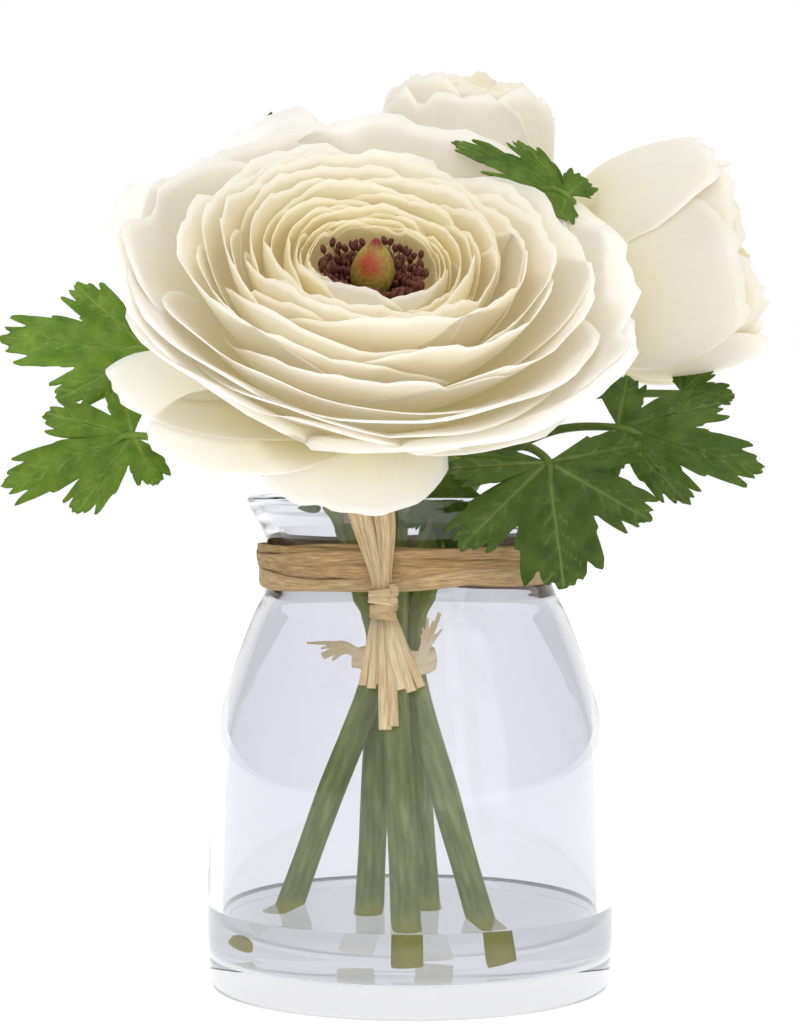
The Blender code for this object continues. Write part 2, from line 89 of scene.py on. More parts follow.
class Shape:
    """Gathers closed shells into one object. Values are numbers kept for each point."""

    def __init__(self, *value_names):
        self.points = []
        self.faces = []
        self.count = 0
        self.values = {name: [] for name in ("across", "along", *value_names)}

    def add(self, points, faces, **values):
        self.points.append(np.asarray(points, float))
        self.faces += [tuple(index + self.count for index in face) for face in faces]
        for name, kept in self.values.items():
            kept.append(np.broadcast_to(np.asarray(values.get(name, 0.0), float), (len(points),)))
        self.count += len(points)

    def build(self, name, material):
        mesh = bpy.data.meshes.new(name)
        mesh.from_pydata((np.vstack(self.points) * MM).tolist(), [], self.faces)
        mesh.materials.append(material)
        mesh.shade_smooth()
        values = {key: np.concatenate(kept) for key, kept in self.values.items()}
        across, along = values.pop("across"), values.pop("along")
        layer = mesh.uv_layers.new(name="UVMap")
        corners = np.empty(len(mesh.loops), np.int32)
        mesh.loops.foreach_get("vertex_index", corners)
        places = np.stack([across[corners], along[corners]], 1)
        layer.data.foreach_set("uv", places.astype(np.float32).ravel())
        for key, kept in values.items():
            attribute = mesh.attributes.new(key, "FLOAT", "POINT")
            attribute.data.foreach_set("value", kept.astype(np.float32))
        made = bpy.data.objects.new(name, mesh)
        bpy.context.scene.collection.objects.link(made)
        return made


def stand_for(piece, slot, *nodes):
    """The piece rides on the vase's body and takes the place of CAD nodes."""
    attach(piece, "root")
    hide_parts(*nodes)


def grid_faces(rows, columns, wrap=False):
    """Quads over rows x columns points. wrap joins the last column to the first."""
    faces = []
    for row in range(rows - 1):
        for column in range(columns if wrap else columns - 1):
            after = (column + 1) % columns
            low, high = row * columns, (row + 1) * columns
            faces.append((low + column, low + after, high + after, high + column))
    return faces


def thicken(points, faces, thickness):
    """Both sides and the edge of an open sheet, as one closed shell."""
    corners = np.array([face if len(face) == 4 else (*face, face[-1]) for face in faces])
    diagonal = points[corners[:, 2]] - points[corners[:, 0]]
    turn = np.cross(diagonal, points[corners[:, 3]] - points[corners[:, 1]])
    normals = np.zeros_like(points)
    for corner in range(4):
        np.add.at(normals, corners[:, corner], turn)
    normals /= np.maximum(np.linalg.norm(normals, axis=1, keepdims=True), 1e-12)
    offset = normals * np.reshape(np.broadcast_to(thickness, (len(points),)), (-1, 1)) / 2
    directed = {(a, b) for face in faces for a, b in zip(face, (*face[1:], face[0]))}
    rim = sorted((a, b) for a, b in directed if (b, a) not in directed)
    total = len(points)
    closed = [tuple(face) for face in faces]
    closed += [tuple(index + total for index in reversed(face)) for face in faces]
    closed += [(b, a, a + total, b + total) for a, b in rim]
    return np.vstack([points + offset, points - offset]), closed


def smooth_route(controls, count):
    """Points at even steps of a Catmull-Rom curve through the controls."""
    route = np.array([tuple(control) for control in controls], float)
    route = np.vstack([route[0] * 2 - route[1], route, route[-1] * 2 - route[-2]])
    place = np.linspace(0, len(route) - 3, count)
    span = np.minimum(place.astype(int), len(route) - 4)
    t = (place - span)[:, None]
    a, b, c, d = (route[span + shift] for shift in range(4))
    square = a * 2 - b * 5 + c * 4 - d
    cube = b * 3 - a - c * 3 + d
    return (b * 2 + (c - a) * t + square * t**2 + cube * t**3) / 2


def tube(route, width, depth, across=(0, 1, 0), sides=12, twist=0.0, flatness=1.0, rough=0.0, seed=0,
         slant=0.0):
    """A closed sweep of an ellipse along a route: its points, faces, and places across and along.
    width and depth are half sizes, or arrays of them; flatness over 1 squares the section off;
    rough adds grooves that run along it; slant cuts its first end at an angle."""
    route = np.asarray(route, float)
    count = len(route)
    draw = random.Random(seed)
    width = np.broadcast_to(width, (count,))
    depth = np.broadcast_to(depth, (count,))
    share = np.linspace(0, 1, count)
    angle = 2 * np.pi * (np.arange(sides) + 0.5) / sides
    ridge = 0
    for wave in (3, 5, 8, 11):
        ridge = ridge + draw.uniform(0.4, 1.0) * np.sin(wave * angle + draw.uniform(0, 6.28)) / 2
    cosine = np.sign(np.cos(angle)) * np.abs(np.cos(angle)) ** (1 / flatness)
    sine = np.sign(np.sin(angle)) * np.abs(np.sin(angle)) ** (1 / flatness)
    tangent = np.gradient(route, axis=0)
    tangent /= np.linalg.norm(tangent, axis=1, keepdims=True)
    side = np.array(across, float)
    points = []
    for index in range(count):
        side = side - tangent[index] * side.dot(tangent[index])
        side /= np.linalg.norm(side)
        turned = side * math.cos(twist * share[index])
        turned = turned + np.cross(tangent[index], side) * math.sin(twist * share[index])
        over = np.cross(tangent[index], turned)
        grow = 1 + rough * ridge * (0.7 + 0.3 * math.sin(9 * share[index] + seed))
        ring = route[index] + np.outer(cosine * grow * width[index], turned)
        ring = ring + np.outer(sine * grow * depth[index], over)
        if index == 0 and slant:
            ring = ring + np.outer(cosine * slant, tangent[0])
        points.append(ring)
    points = np.vstack(points)
    faces = [tuple(reversed(face)) for face in grid_faces(count, sides, wrap=True)]
    faces.append(tuple(range(sides)))
    faces.append(tuple(reversed(range((count - 1) * sides, count * sides))))
    length = np.concatenate([[0], np.cumsum(np.linalg.norm(np.diff(route, axis=0), axis=1))])
    outward = [tuple(reversed(face)) for face in faces]
    return points, outward, np.tile(np.arange(sides) / sides, count), np.repeat(length, sides)


def add_tube(shape, route, width, depth, values=None, **settings):
    points, faces, across, along = tube(route, width, depth, **settings)
    shape.add(points, faces, across=across + settings.get("seed", 0) * 0.37, along=along, **(values or {}))


def turned_shell(profile, segments, ripple=0.0):
    """A solid of revolution about +Z. The profile starts and ends on the axis, and runs down the
    outer side."""
    profile = np.array(profile, float)
    angle = 2 * np.pi * np.arange(segments) / segments
    inner = profile[1:-1]
    radius = inner[:, :1] * (1 + ripple * np.sin(7 * angle) * np.sin(3 * angle + 1))
    height = np.repeat(inner[:, 1:], segments, 1)
    rings = np.stack([radius * np.cos(angle), radius * np.sin(angle), height], -1)
    points = np.vstack([rings.reshape(-1, 3), [(0, 0, profile[0, 1]), (0, 0, profile[-1, 1])]])
    rows = len(inner)
    faces = grid_faces(rows, segments, wrap=True)
    first, last = len(points) - 2, len(points) - 1
    for column in range(segments):
        after = (column + 1) % segments
        faces.append((first, after, column))
        faces.append((last, (rows - 1) * segments + column, (rows - 1) * segments + after))
    return points, [tuple(reversed(face)) for face in faces]


def frame_of(centre, up):
    """Axes, as columns, and origin of a frame along up whose +X leans upward."""
    z_axis = Vector(up).normalized()
    x_axis = Vector((0, 0, 1))
    x_axis = (x_axis - z_axis * x_axis.dot(z_axis)).normalized()
    return np.array(Matrix((x_axis, z_axis.cross(x_axis), z_axis)).transposed()), np.array(centre, float)


def frame_facing(origin, facing, along):
    """Axes, as columns, and origin of a frame that faces a way and whose +X leans along."""
    z_axis = Vector(facing).normalized()
    x_axis = Vector(along)
    x_axis = (x_axis - z_axis * x_axis.dot(z_axis)).normalized()
    return np.array(Matrix((x_axis, z_axis.cross(x_axis), z_axis)).transposed()), np.array(origin, float)


# Materials


class Nodes:
    """Builds one Principled material's node tree."""

    def __init__(self, name):
        self.material = bpy.data.materials.new(name)
        self.material.use_nodes = True
        self.tree = self.material.node_tree
        self.shader = self.tree.nodes["Principled BSDF"]
        self.object_place = self.add("ShaderNodeTexCoord").outputs["Object"]
        self.uv = self.add("ShaderNodeUVMap", uv_map="UVMap").outputs[0]

    def add(self, kind, **settings):
        node = self.tree.nodes.new(kind)
        for key, value in settings.items():
            setattr(node, key, value)
        return node

    def join(self, source, target):
        self.tree.links.new(source, target)

    def put(self, **values):
        """Sets the shader's own sockets; underscores stand for spaces."""
        for key, value in values.items():
            self.shader.inputs[key.replace("_", " ")].default_value = value

    def colour(self, source):
        self.join(source, self.shader.inputs["Base Color"])

    def value(self, name):
        return self.add("ShaderNodeAttribute", attribute_name=name).outputs["Fac"]

    def ramp(self, source, stops):
        """A colour ramp through (position, colour) stops."""
        node = self.add("ShaderNodeValToRGB")
        elements = node.color_ramp.elements
        elements[0].position, elements[0].color = stops[0][0], (*stops[0][1], 1)
        elements[1].position, elements[1].color = stops[-1][0], (*stops[-1][1], 1)
        for position, colour in stops[1:-1]:
            elements.new(position).color = (*colour, 1)
        self.join(source, node.inputs[0])
        return node.outputs[0]

    def fill(self, target, source):
        if isinstance(source, bpy.types.NodeSocket):
            self.join(source, target)
        else:
            target.default_value = source

    def blend(self, share, first, second, mode="MIX"):
        """A colour mix. Each of share, first and second is a socket or a value."""
        node = self.add("ShaderNodeMix", data_type="RGBA", blend_type=mode)
        self.fill(node.inputs[0], share)
        self.fill(node.inputs[6], (*first, 1) if isinstance(first, tuple) else first)
        self.fill(node.inputs[7], (*second, 1) if isinstance(second, tuple) else second)
        return node.outputs[2]

    def math(self, operation, first, second=0.0, clamp=False):
        node = self.add("ShaderNodeMath", operation=operation, use_clamp=clamp)
        self.fill(node.inputs[0], first)
        self.fill(node.inputs[1], second)
        return node.outputs[0]

    def part(self, source, axis):
        node = self.add("ShaderNodeSeparateXYZ")
        self.join(source, node.inputs[0])
        return node.outputs[axis]

    def noise(self, vector, scale, detail=3.0, roughness=0.5, stretch=(1, 1, 1)):
        mapping = self.add("ShaderNodeMapping")
        mapping.inputs["Scale"].default_value = stretch
        self.join(vector, mapping.inputs["Vector"])
        node = self.add("ShaderNodeTexNoise")
        node.inputs["Scale"].default_value = scale
        node.inputs["Detail"].default_value = detail
        node.inputs["Roughness"].default_value = roughness
        self.join(mapping.outputs[0], node.inputs["Vector"])
        return node.outputs[0]

    def bump(self, height, distance, strength=1.0):
        node = self.add("ShaderNodeBump")
        node.inputs["Strength"].default_value = strength
        node.inputs["Distance"].default_value = distance
        self.join(height, node.inputs["Height"])
        self.join(node.outputs[0], self.shader.inputs["Normal"])


def petal_material():
    """Cream petals: yellow-green toward the base and in the heart, whiter and faintly lilac on the outer
    whorls, with fine veins running to the rim. The yellow-green and the darker ochre of the heart are
    partly the petals' own colour and partly painted shade, deep between the packed petals."""
    n = Nodes("petal")
    along = n.part(n.uv, 1)
    veins = n.noise(n.uv, 1.0, 4.0, 0.6, (46, 2.2, 1))
    blotch = n.noise(n.object_place, 120)
    shifted = n.math("ADD", along, n.math("MULTIPLY", n.math("SUBTRACT", blotch, 0.5), 0.18))
    # Partly painted shade: the inner ramp, used in the heart, runs from dark brown through ochre, and both
    # ramps darken toward the petal's base, deep among the others.
    inner = n.ramp(shifted, [
        (0.0, (0.22, 0.14, 0.02)), (0.35, (0.50, 0.39, 0.09)), (0.62, (0.60, 0.45, 0.12)),
        (0.84, (0.56, 0.43, 0.12)), (1.0, (0.70, 0.59, 0.28)),
    ])
    outer = n.ramp(shifted, [
        (0.0, (0.46, 0.46, 0.12)), (0.30, (0.70, 0.66, 0.34)), (0.58, (0.80, 0.76, 0.575)),
        (0.80, (0.805, 0.775, 0.68)), (1.0, (0.80, 0.775, 0.725)),
    ])
    tinted = n.blend(n.value("whorl"), inner, outer)
    veined = n.blend(n.math("MULTIPLY", veins, 0.22), tinted, (0.82, 0.76, 0.52), "MULTIPLY")
    n.colour(veined)
    n.put(Roughness=0.6, Specular_IOR_Level=0.22, Sheen_Weight=0.08)
    n.put(Subsurface_Weight=0.8, Subsurface_Scale=0.0026)
    n.shader.inputs["Subsurface Radius"].default_value = (1.0, 0.95, 0.85)
    # A little light of their own stands for the light that thin petals let through.
    n.put(Emission_Strength=0.10)
    n.shader.inputs["Emission Color"].default_value = (1.0, 0.86, 0.56, 1)
    n.bump(veins, 0.00018, 0.45)
    return n.material


def leaf_material():
    """Leaves from bright to deep green, with paler veins and a mottled blade."""
    n = Nodes("leaf")
    mottle = n.noise(n.object_place, 260, 4.0, 0.6)
    deep = n.ramp(mottle, [(0.3, (0.020, 0.040, 0.003)), (0.7, (0.052, 0.086, 0.008))])
    bright = n.ramp(mottle, [(0.3, (0.066, 0.145, 0.008)), (0.7, (0.165, 0.265, 0.022))])
    blade = n.blend(n.value("tone"), deep, bright)
    pale = n.blend(n.value("tone"), (0.16, 0.22, 0.06), (0.30, 0.42, 0.10))
    n.colour(n.blend(n.math("MULTIPLY", n.value("vein"), 0.75, True), blade, pale))
    n.put(Roughness=0.42, Specular_IOR_Level=0.20, Subsurface_Weight=0.12, Subsurface_Scale=0.0015)
    n.shader.inputs["Subsurface Radius"].default_value = (0.5, 1.0, 0.2)
    n.bump(n.noise(n.object_place, 900, 3.0), 0.00020, 0.5)
    return n.material


def stem_material():
    """Grey-green ribbed stems with pale cut ends, made paler and yellower below the water line: painted
    light for their bright look through the glass and water.
    """
    n = Nodes("stem")
    streak = n.noise(n.uv, 1.0, 4.0, 0.6, (9, 0.10, 1))
    rind = n.ramp(streak, [
        (0.25, (0.14, 0.19, 0.02)), (0.5, (0.29, 0.36, 0.06)), (0.75, (0.55, 0.60, 0.20)),
    ])
    shade = n.noise(n.object_place, 35, 2.0)
    mottled = n.blend(n.math("MULTIPLY", shade, 0.35), rind, (0.66, 0.66, 0.40), "MULTIPLY")
    # Painted light: below the water line the stems are made paler and yellower, for their bright look
    # through the glass and water.
    wet = n.blend(n.value("wet"), mottled, (0.60, 0.60, 0.03))
    n.colour(n.blend(n.value("cut"), wet, (0.66, 0.58, 0.10)))
    n.put(Roughness=0.5, Specular_IOR_Level=0.4, Subsurface_Weight=0.1, Subsurface_Scale=0.001)
    n.bump(streak, 0.0004, 0.6)
    return n.material


def raffia_material(name, painted_light):
    """Dry straw fibre, from orange-brown to pale, streaked along its length. The second argument blends it
    toward pale straw and gives it a glow of its own, both painted light; it is large for the fibres inside
    the glass, which the lamps do not reach through it.
    """
    n = Nodes(name)
    streak = n.noise(n.uv, 1.0, 5.0, 0.65, (26, 0.22, 1))
    dark = n.ramp(streak, [
        (0.25, (0.12, 0.050, 0.010)), (0.5, (0.34, 0.185, 0.050)), (0.75, (0.60, 0.40, 0.17)),
    ])
    pale = n.ramp(streak, [
        (0.25, (0.44, 0.30, 0.145)), (0.5, (0.72, 0.58, 0.36)), (0.75, (0.88, 0.78, 0.58)),
    ])
    # Painted light: a blend toward pale straw and a glow of its own, both by the second argument.
    n.colour(n.blend(painted_light, n.blend(n.value("tone"), dark, pale), (0.95, 0.86, 0.66)))
    n.put(Roughness=0.72, Specular_IOR_Level=0.25, Subsurface_Weight=0.08, Subsurface_Scale=0.001,
          Emission_Strength=0.34 * painted_light)
    n.shader.inputs["Emission Color"].default_value = (1.0, 0.76, 0.32, 1)
    n.bump(streak, 0.0005, 0.8)
    return n.material


def clear_material(name, tint, ior, roughness):
    """Glass or water with a barely uneven surface."""
    n = Nodes(name)
    uneven = n.noise(n.object_place, 22, 2.0)
    low = tuple(part * 0.985 for part in tint)
    n.colour(n.ramp(uneven, [(0.3, low), (0.7, tint)]))
    n.put(Roughness=roughness, IOR=ior, Transmission_Weight=1.0)
    n.bump(n.noise(n.object_place, 45, 1.0), 0.0006, 0.12)
    return n.material


def pistil_material():
    """A yellow-green egg with a red-orange flush on one side and a dark red tip."""
    n = Nodes("pistil")
    grain = n.noise(n.object_place, 1500, 3.0)
    green = n.ramp(grain, [(0.3, (0.26, 0.19, 0.02)), (0.7, (0.42, 0.34, 0.07))])
    flushed = n.blend(n.value("flush"), green, (0.36, 0.05, 0.006))
    n.colour(n.blend(n.value("tip"), flushed, (0.22, 0.012, 0.008)))
    n.put(Roughness=0.4, Subsurface_Weight=0.15, Subsurface_Scale=0.001)
    n.bump(grain, 0.0003, 0.6)
    return n.material


def stamen_material():
    """Dark maroon anthers on brownish filaments."""
    n = Nodes("stamen")
    grain = n.noise(n.object_place, 1800, 3.0)
    dark = n.ramp(grain, [(0.3, (0.040, 0.006, 0.004)), (0.7, (0.16, 0.026, 0.014))])
    n.colour(n.blend(n.value("tone"), dark, (0.30, 0.12, 0.05)))
    n.put(Roughness=0.65)
    n.bump(grain, 0.0003, 0.7)
    return n.material


# Blooms


class Bloom:
    """A ranunculus head: petals on nested shells of revolution round one axis. Shares run from
    0, the innermost petal, to 1, the outermost. Pairs hold the value at those two."""

    def __init__(self, centre, up, seat, seat_radius, rim_radius, rim_height, start_lean, end_lean,
                 handles, width):
        self.axes = frame_of(centre, up)
        self.seat = seat
        self.seat_radius = seat_radius
        self.rim_radius = rim_radius
        self.rim_height = rim_height
        self.start_lean = start_lean
        self.end_lean = end_lean
        self.handles = handles
        self.width = width

    def place(self, local):
        rotation, centre = self.axes
        return local @ rotation.T + centre

    def seat_size(self, height):
        top, bottom = self.seat
        return self.seat_radius * mix(1.0, 0.78, (height - bottom) / (top - bottom))

    def shell(self, share, along, droop=0.0, spread=0.0):
        """Radius and height on a shell, from the seat, 0, to the rim, 1."""
        height = mix(*self.seat, share**0.8)
        start = np.array([self.seat_size(height) + 0.4, height])
        low, middle, high = self.rim_height
        end_height = low * (1 - share) ** 2 + 2 * middle * share * (1 - share) + high * share**2
        end = np.array([mix(*self.rim_radius, share) + spread, end_height - droop])
        reach = np.hypot(*(end - start))
        start_lean = math.radians(mix(*self.start_lean, share**0.7))
        end_lean = math.radians(mix(*self.end_lean, share) + droop * 2.4)
        first = start + np.array([math.sin(start_lean), math.cos(start_lean)]) * reach * self.handles[0]
        second = end - np.array([math.sin(end_lean), math.cos(end_lean)]) * reach * self.handles[1]
        s = np.asarray(along)[..., None]
        rest = 1 - s
        curve = start * rest**3 + first * 3 * rest**2 * s + second * 3 * rest * s**2 + end * s**3
        return curve[..., 0], curve[..., 1]

    def petal(self, shape, share, turn, draw, steps=(20, 26), droop=0.0, spread=0.0, wide=1.0, ruffle=1.0,
              frill=1.0, flop=0.0, lip=1.0, thickness=0.26, heart_shade=0.0):
        """Adds one petal to a shape. ruffle waves its blade and frill its rim; flop lowers its rim
        where it stands on the bloom's lower side."""
        rows, columns = steps[0] + 1, steps[1] + 1
        along, across = np.meshgrid(np.linspace(0, 1, rows), np.linspace(-1, 1, columns), indexing="ij")
        phase = [draw.uniform(0, 2 * math.pi) for _ in range(8)]
        tall = draw.uniform(0.955, 1.025)
        slant = draw.uniform(-0.045, 0.045)
        notch = draw.choice([0.0, 0.0, 0.03, 0.055]) * frill
        outline = 1 - 0.03 * across**2 - 0.30 * np.abs(across) ** 4 + slant * across
        outline = outline - notch * bell(across, draw.uniform(-0.3, 0.3), 0.10)
        nibble = 0.012 * np.sin(3 * across + phase[0]) + 0.010 * np.sin(7.3 * across + phase[1])
        nibble = nibble + 0.006 * np.sin(17 * across + phase[2]) + 0.004 * np.sin(41 * across + phase[3])
        s = along * tall * (outline + nibble * along**4 * frill)
        radius, height = self.shell(share, s, droop, spread)
        ahead_radius, ahead_height = self.shell(share, s + 0.002, droop, spread)
        out_r, out_h = ahead_height - height, radius - ahead_radius
        length = np.maximum(np.hypot(out_r, out_h), 1e-9)
        out_r, out_h = out_r / length, out_h / length
        narrow = 0.30 + 0.70 * np.sin(np.pi / 2 * np.minimum(1, along / 0.66))
        half_width = mix(*self.width, share**0.8) * wide * draw.uniform(0.92, 1.08)
        angle = turn + across * np.minimum(half_width * narrow / np.maximum(radius, 3.5), 1.25)
        size = 0.35 + 0.65 * share
        wave = 0.50 * np.sin(2.6 * across + phase[4]) + 0.32 * np.sin(5.5 * across + phase[5])
        wave = wave + 0.12 * np.sin(13 * across + phase[6] + 3 * along)
        offset = wave * along**2.2 * size * ruffle
        offset = offset - draw.uniform(0.2, 0.7) * np.abs(across) ** 3 * along**1.5 * size * share
        offset = offset + lip * draw.uniform(0.3, 1.2) * along**7 * size * (0.3 + 0.7 * share)
        radius, height = radius + out_r * offset, height + out_h * offset
        low_side = np.maximum(0.0, -np.cos(angle))
        height = height - flop * low_side * along**3
        radius = radius + 0.35 * flop * low_side * along**3
        sheet = np.stack([radius * np.cos(angle), radius * np.sin(angle), height], -1).reshape(-1, 3)
        edge = np.maximum(np.abs(across), along).ravel() ** 6
        thickness = thickness * (1 - 0.6 * edge)
        points, faces = thicken(self.place(sheet), grid_faces(rows, columns), thickness)
        # Painted shade: a positive shade setting moves the petal toward the darker inner colour; a
        # negative one lifts it toward the lighter outer colour, painted light.
        shape.add(
            points, faces, across=np.tile(across.ravel() * 0.5 + 0.5, 2), along=np.tile(along.ravel(), 2),
            whorl=min(1.0, (share * 1.2) ** 0.95 * (1 - heart_shade)),
        )

    def receptacle(self, name, material, node):
        """The swollen stem end that holds the petals, with five sepals under them."""
        top, bottom = self.seat
        wide = self.seat_radius
        profile = [(0, top + 0.8), (wide * 0.5, top + 0.75), (wide * 0.72, top + 0.4), (wide * 0.78, top)]
        profile += [(wide * 0.95, mix(top, bottom, 0.7)), (wide * 0.98, bottom)]
        profile += [(wide * 0.66, bottom - 1.6), (0, bottom - 1.7)]
        shape = Shape("tone", "vein")
        points, faces = turned_shell(profile, 40, 0.015)
        shape.add(self.place(points), faces, tone=0.9, along=points[:, 2] * 0.1)
        draw = random.Random(name)
        for sepal in range(5):
            along, across = np.meshgrid(np.linspace(0, 1, 13), np.linspace(-1, 1, 11), indexing="ij")
            radius, height = self.shell(1.0, 0.02 + along * draw.uniform(0.26, 0.34))
            radius = radius + 0.5
            height = height - 0.75 - 0.5 * along * draw.uniform(0.6, 1.4)
            half = 4.2 * np.sin(np.pi * (0.18 + 0.80 * along)) * (1 - 0.1 * along)
            angle = 2 * math.pi * sepal / 5 + draw.uniform(-0.15, 0.15)
            angle = angle + across * half / np.maximum(radius, 4.5)
            height = height + 0.35 * across**2
            sheet = np.stack([radius * np.cos(angle), radius * np.sin(angle), height], -1).reshape(-1, 3)
            points, faces = thicken(self.place(sheet), grid_faces(13, 11), 0.3)
            vein = bell(np.tile(across.ravel(), 2), 0, 0.12)
            places = dict(across=np.tile(across.ravel(), 2), along=np.tile(along.ravel(), 2))
            shape.add(points, faces, tone=0.9, vein=vein, **places)
        stand_for(shape.build(name, material), "receptacle_green", node)


MAIN = Bloom(
    centre=(-9.0, -19.5, 117.2), up=(0.11, -0.585, 0.805), seat=(6.5, -4.5), seat_radius=5.0,
    rim_radius=(10.6, 48.0), rim_height=(23.0, 31.0, 23.5), start_lean=(40, 92), end_lean=(-24, 52),
    handles=(0.42, 0.38), width=(13.5, 45.0),
)
# The low guard petals, which stand out almost flat under the ring.
GUARD = Bloom(
    centre=(-9.0, -19.5, 117.2), up=(0.11, -0.585, 0.805), seat=(6.5, -4.5), seat_radius=5.0,
    rim_radius=(45.0, 45.0), rim_height=(2.0, 2.0, 2.0), start_lean=(96, 96), end_lean=(78, 78),
    handles=(0.40, 0.40), width=(18.0, 18.0),
)
RIGHT = Bloom(
    centre=(34.6, 12.2, 133.2), up=(0.94, -0.06, 0.22), seat=(2.2, -2.2), seat_radius=4.0,
    rim_radius=(8.0, 22.0), rim_height=(29.0, 33.0, 29.0), start_lean=(62, 96), end_lean=(-34, -14),
    handles=(0.52, 0.46), width=(13.0, 22.5),
)
BACK = Bloom(
    centre=(9.2, 26.4, 142.0), up=(0.10, 0.16, 1.0), seat=(2.2, -2.2), seat_radius=3.8,
    rim_radius=(7.5, 18.0), rim_height=(30.0, 34.0, 28.0), start_lean=(60, 94), end_lean=(-26, -2),
    handles=(0.50, 0.42), width=(13.0, 24.0),
)


def make_main_bloom(cream):
    draw = random.Random(11)
    # The bowl of inner petals stands inside a broad brim of outer ones.
    total, bowl, groups = 66, 54, 18
    shapes = [Shape("whorl") for _ in range(groups)]
    for number in range(total):
        turn = math.pi + 0.3 + number * GOLDEN_ANGLE + draw.uniform(-0.1, 0.1)
        if number < bowl:
            share = (0.72 + 0.20 * max(0.0, -math.cos(turn))) * (number / (bowl - 1)) ** 1.75
        else:
            share = mix(0.90, 1.0, (number - bowl) / (total - 1 - bowl))
        in_front = max(0.0, -math.cos(turn)) * float(share < 0.20)
        on_right = max(0.0, -math.sin(turn)) * float(number >= bowl)
        # Painted shade: inner petals lean toward the darker heart colour; the drooped inner petals in
        # front are lifted toward the lighter outer colour, painted light.
        MAIN.petal(
            shapes[number * groups // total], share, turn, draw, droop=4.2 * in_front,
            spread=1.2 * in_front + 3.0 * on_right, flop=4.5 * share**3, frill=1.7,
            ruffle=mix(1.0, 1.45, min(1.0, share * 1.6)), heart_shade=0.2 * (1 - share) - 1.4 * in_front,
        )
    # Two short flaps in front of the heart, lifted toward the lighter outer colour: painted light.
    for turn, share, spread in ((math.pi + 0.80, 0.05, 0.3), (math.pi - 0.74, 0.07, 0.0)):
        MAIN.petal(shapes[0], share, turn, draw, droop=0.3, spread=spread, wide=0.84, ruffle=0.5,
                   heart_shade=-6.0)
    # Guard petals: (turn, droop, spread, share of the full width).
    guards = [
        (math.pi - 0.22, 5.6, -3.6, 1.12), (2.26, -0.5, 5.0, 0.9), (1.86, -1.5, 4.6, 0.80),
        (-2.25, -6.0, -3.0, 1.1),
    ]
    for turn, droop, spread, wide in guards:
        GUARD.petal(shapes[-1], 1.0, turn, draw, droop=droop, spread=spread, wide=wide, ruffle=0.8)
    for number, shape in enumerate(shapes):
        made = shape.build(f"main_petals_{number + 1:02d}", cream)
        stand_for(made, "petal_cream", f"main_bloom_petal_{number + 1:02d}")


def make_side_bloom(bloom, name, cream, seed, total=26):
    draw = random.Random(seed)
    groups = 6
    shapes = [Shape("whorl") for _ in range(groups)]
    for number in range(total):
        share = (number / (total - 1)) ** 1.1
        turn = math.pi + number * GOLDEN_ANGLE + draw.uniform(-0.1, 0.1)
        bloom.petal(shapes[number * groups // total], share, turn, draw, ruffle=0.55, frill=1.5,
                    droop=draw.uniform(-0.4, 0.6), heart_shade=0.15, lip=0.3)
    # Small petals close over the heart.
    for number in range(14):
        near = number / 13
        turn = number * GOLDEN_ANGLE
        bloom.petal(shapes[0], 0.0, turn, draw, ruffle=0.6, frill=1.2, lip=0.2, wide=mix(0.85, 0.5, near),
                    droop=mix(0.8, 2.4, near), spread=mix(-1.2, -6.6, near), heart_shade=-0.5)
    for number, shape in enumerate(shapes):
        made = shape.build(f"{name}_petals_{number + 1}", cream)
        stand_for(made, "petal_cream", f"{name}_petal_{number + 1:02d}")


def make_heart():
    """The main bloom's pistil and stamens."""
    shape = Shape("flush", "tip")
    outline = smooth_route([
        (0.02, 0, 13.4), (0.5, 0, 13.2), (1.1, 0, 12.4), (2.0, 0, 11.2), (3.4, 0, 9.4), (4.4, 0, 6.4),
        (4.1, 0, 3.2), (2.4, 0, 0.1),
    ], 40)
    profile = [(0, 13.45), *[(r, h) for r, _, h in outline], (1.9, -3.0), (2.2, -6.9), (0, -7.0)]
    points, faces = turned_shell(profile, 64, 0.03)
    angle = np.arctan2(points[:, 1], points[:, 0])
    height = points[:, 2]
    patch = np.exp(-(((np.angle(np.exp(1j * (angle - 2.7)))) / 0.85) ** 2)) * bell(height, 9.2, 2.5)
    tip = np.clip((height - 11.4) / 1.4, 0, 1)
    points[:, :2] *= 0.88
    points[:, 2] = points[:, 2] * 0.92 + 14.6
    shape.add(MAIN.place(points), faces, flush=np.clip(patch * 1.25, 0, 1), tip=tip, along=height)
    stand_for(shape.build("pistil", pistil_material()), "pistil", "main_bloom_pistil")

    draw = random.Random(5)
    shape = Shape("tone")
    ball, ball_faces = turned_shell([(0, 1), (0.62, 0.72), (1, 0.1), (0.80, -0.55), (0, -1)], 8)
    for number in range(230):
        around = number * GOLDEN_ANGLE
        ring = mix(4.5, 9.6, (number / 230) ** 0.8)
        top = mix(16.0, 20.8, number / 230) + draw.uniform(-1.1, 1.3)
        size = np.array([0.58, 0.58, draw.uniform(0.9, 1.35)])
        spot = np.array([ring * math.cos(around), ring * math.sin(around), top])
        lean = Matrix.Rotation(draw.uniform(-0.5, 0.5), 3, "X")
        lean = lean @ Matrix.Rotation(draw.uniform(-0.5, 0.5), 3, "Y")
        anther = MAIN.place((ball * size) @ np.array(lean).T + spot)
        shape.add(anther, ball_faces, tone=draw.uniform(0, 0.25))
        foot = np.array([3.2 * math.cos(around), 3.2 * math.sin(around), 7.6])
        route = MAIN.place(smooth_route([foot, (foot + spot) / 2 + (0, 0, -0.8), spot], 5))
        add_tube(shape, route, 0.17, 0.17, dict(tone=0.8), sides=5)
    stand_for(shape.build("stamens", stamen_material()), "stamens", "main_bloom_stamens")


# Leaves

LOBES = ((0, 1.0, 31), (-46, 0.84, 25), (46, 0.84, 25), (-94, 0.60, 27), (94, 0.60, 27))


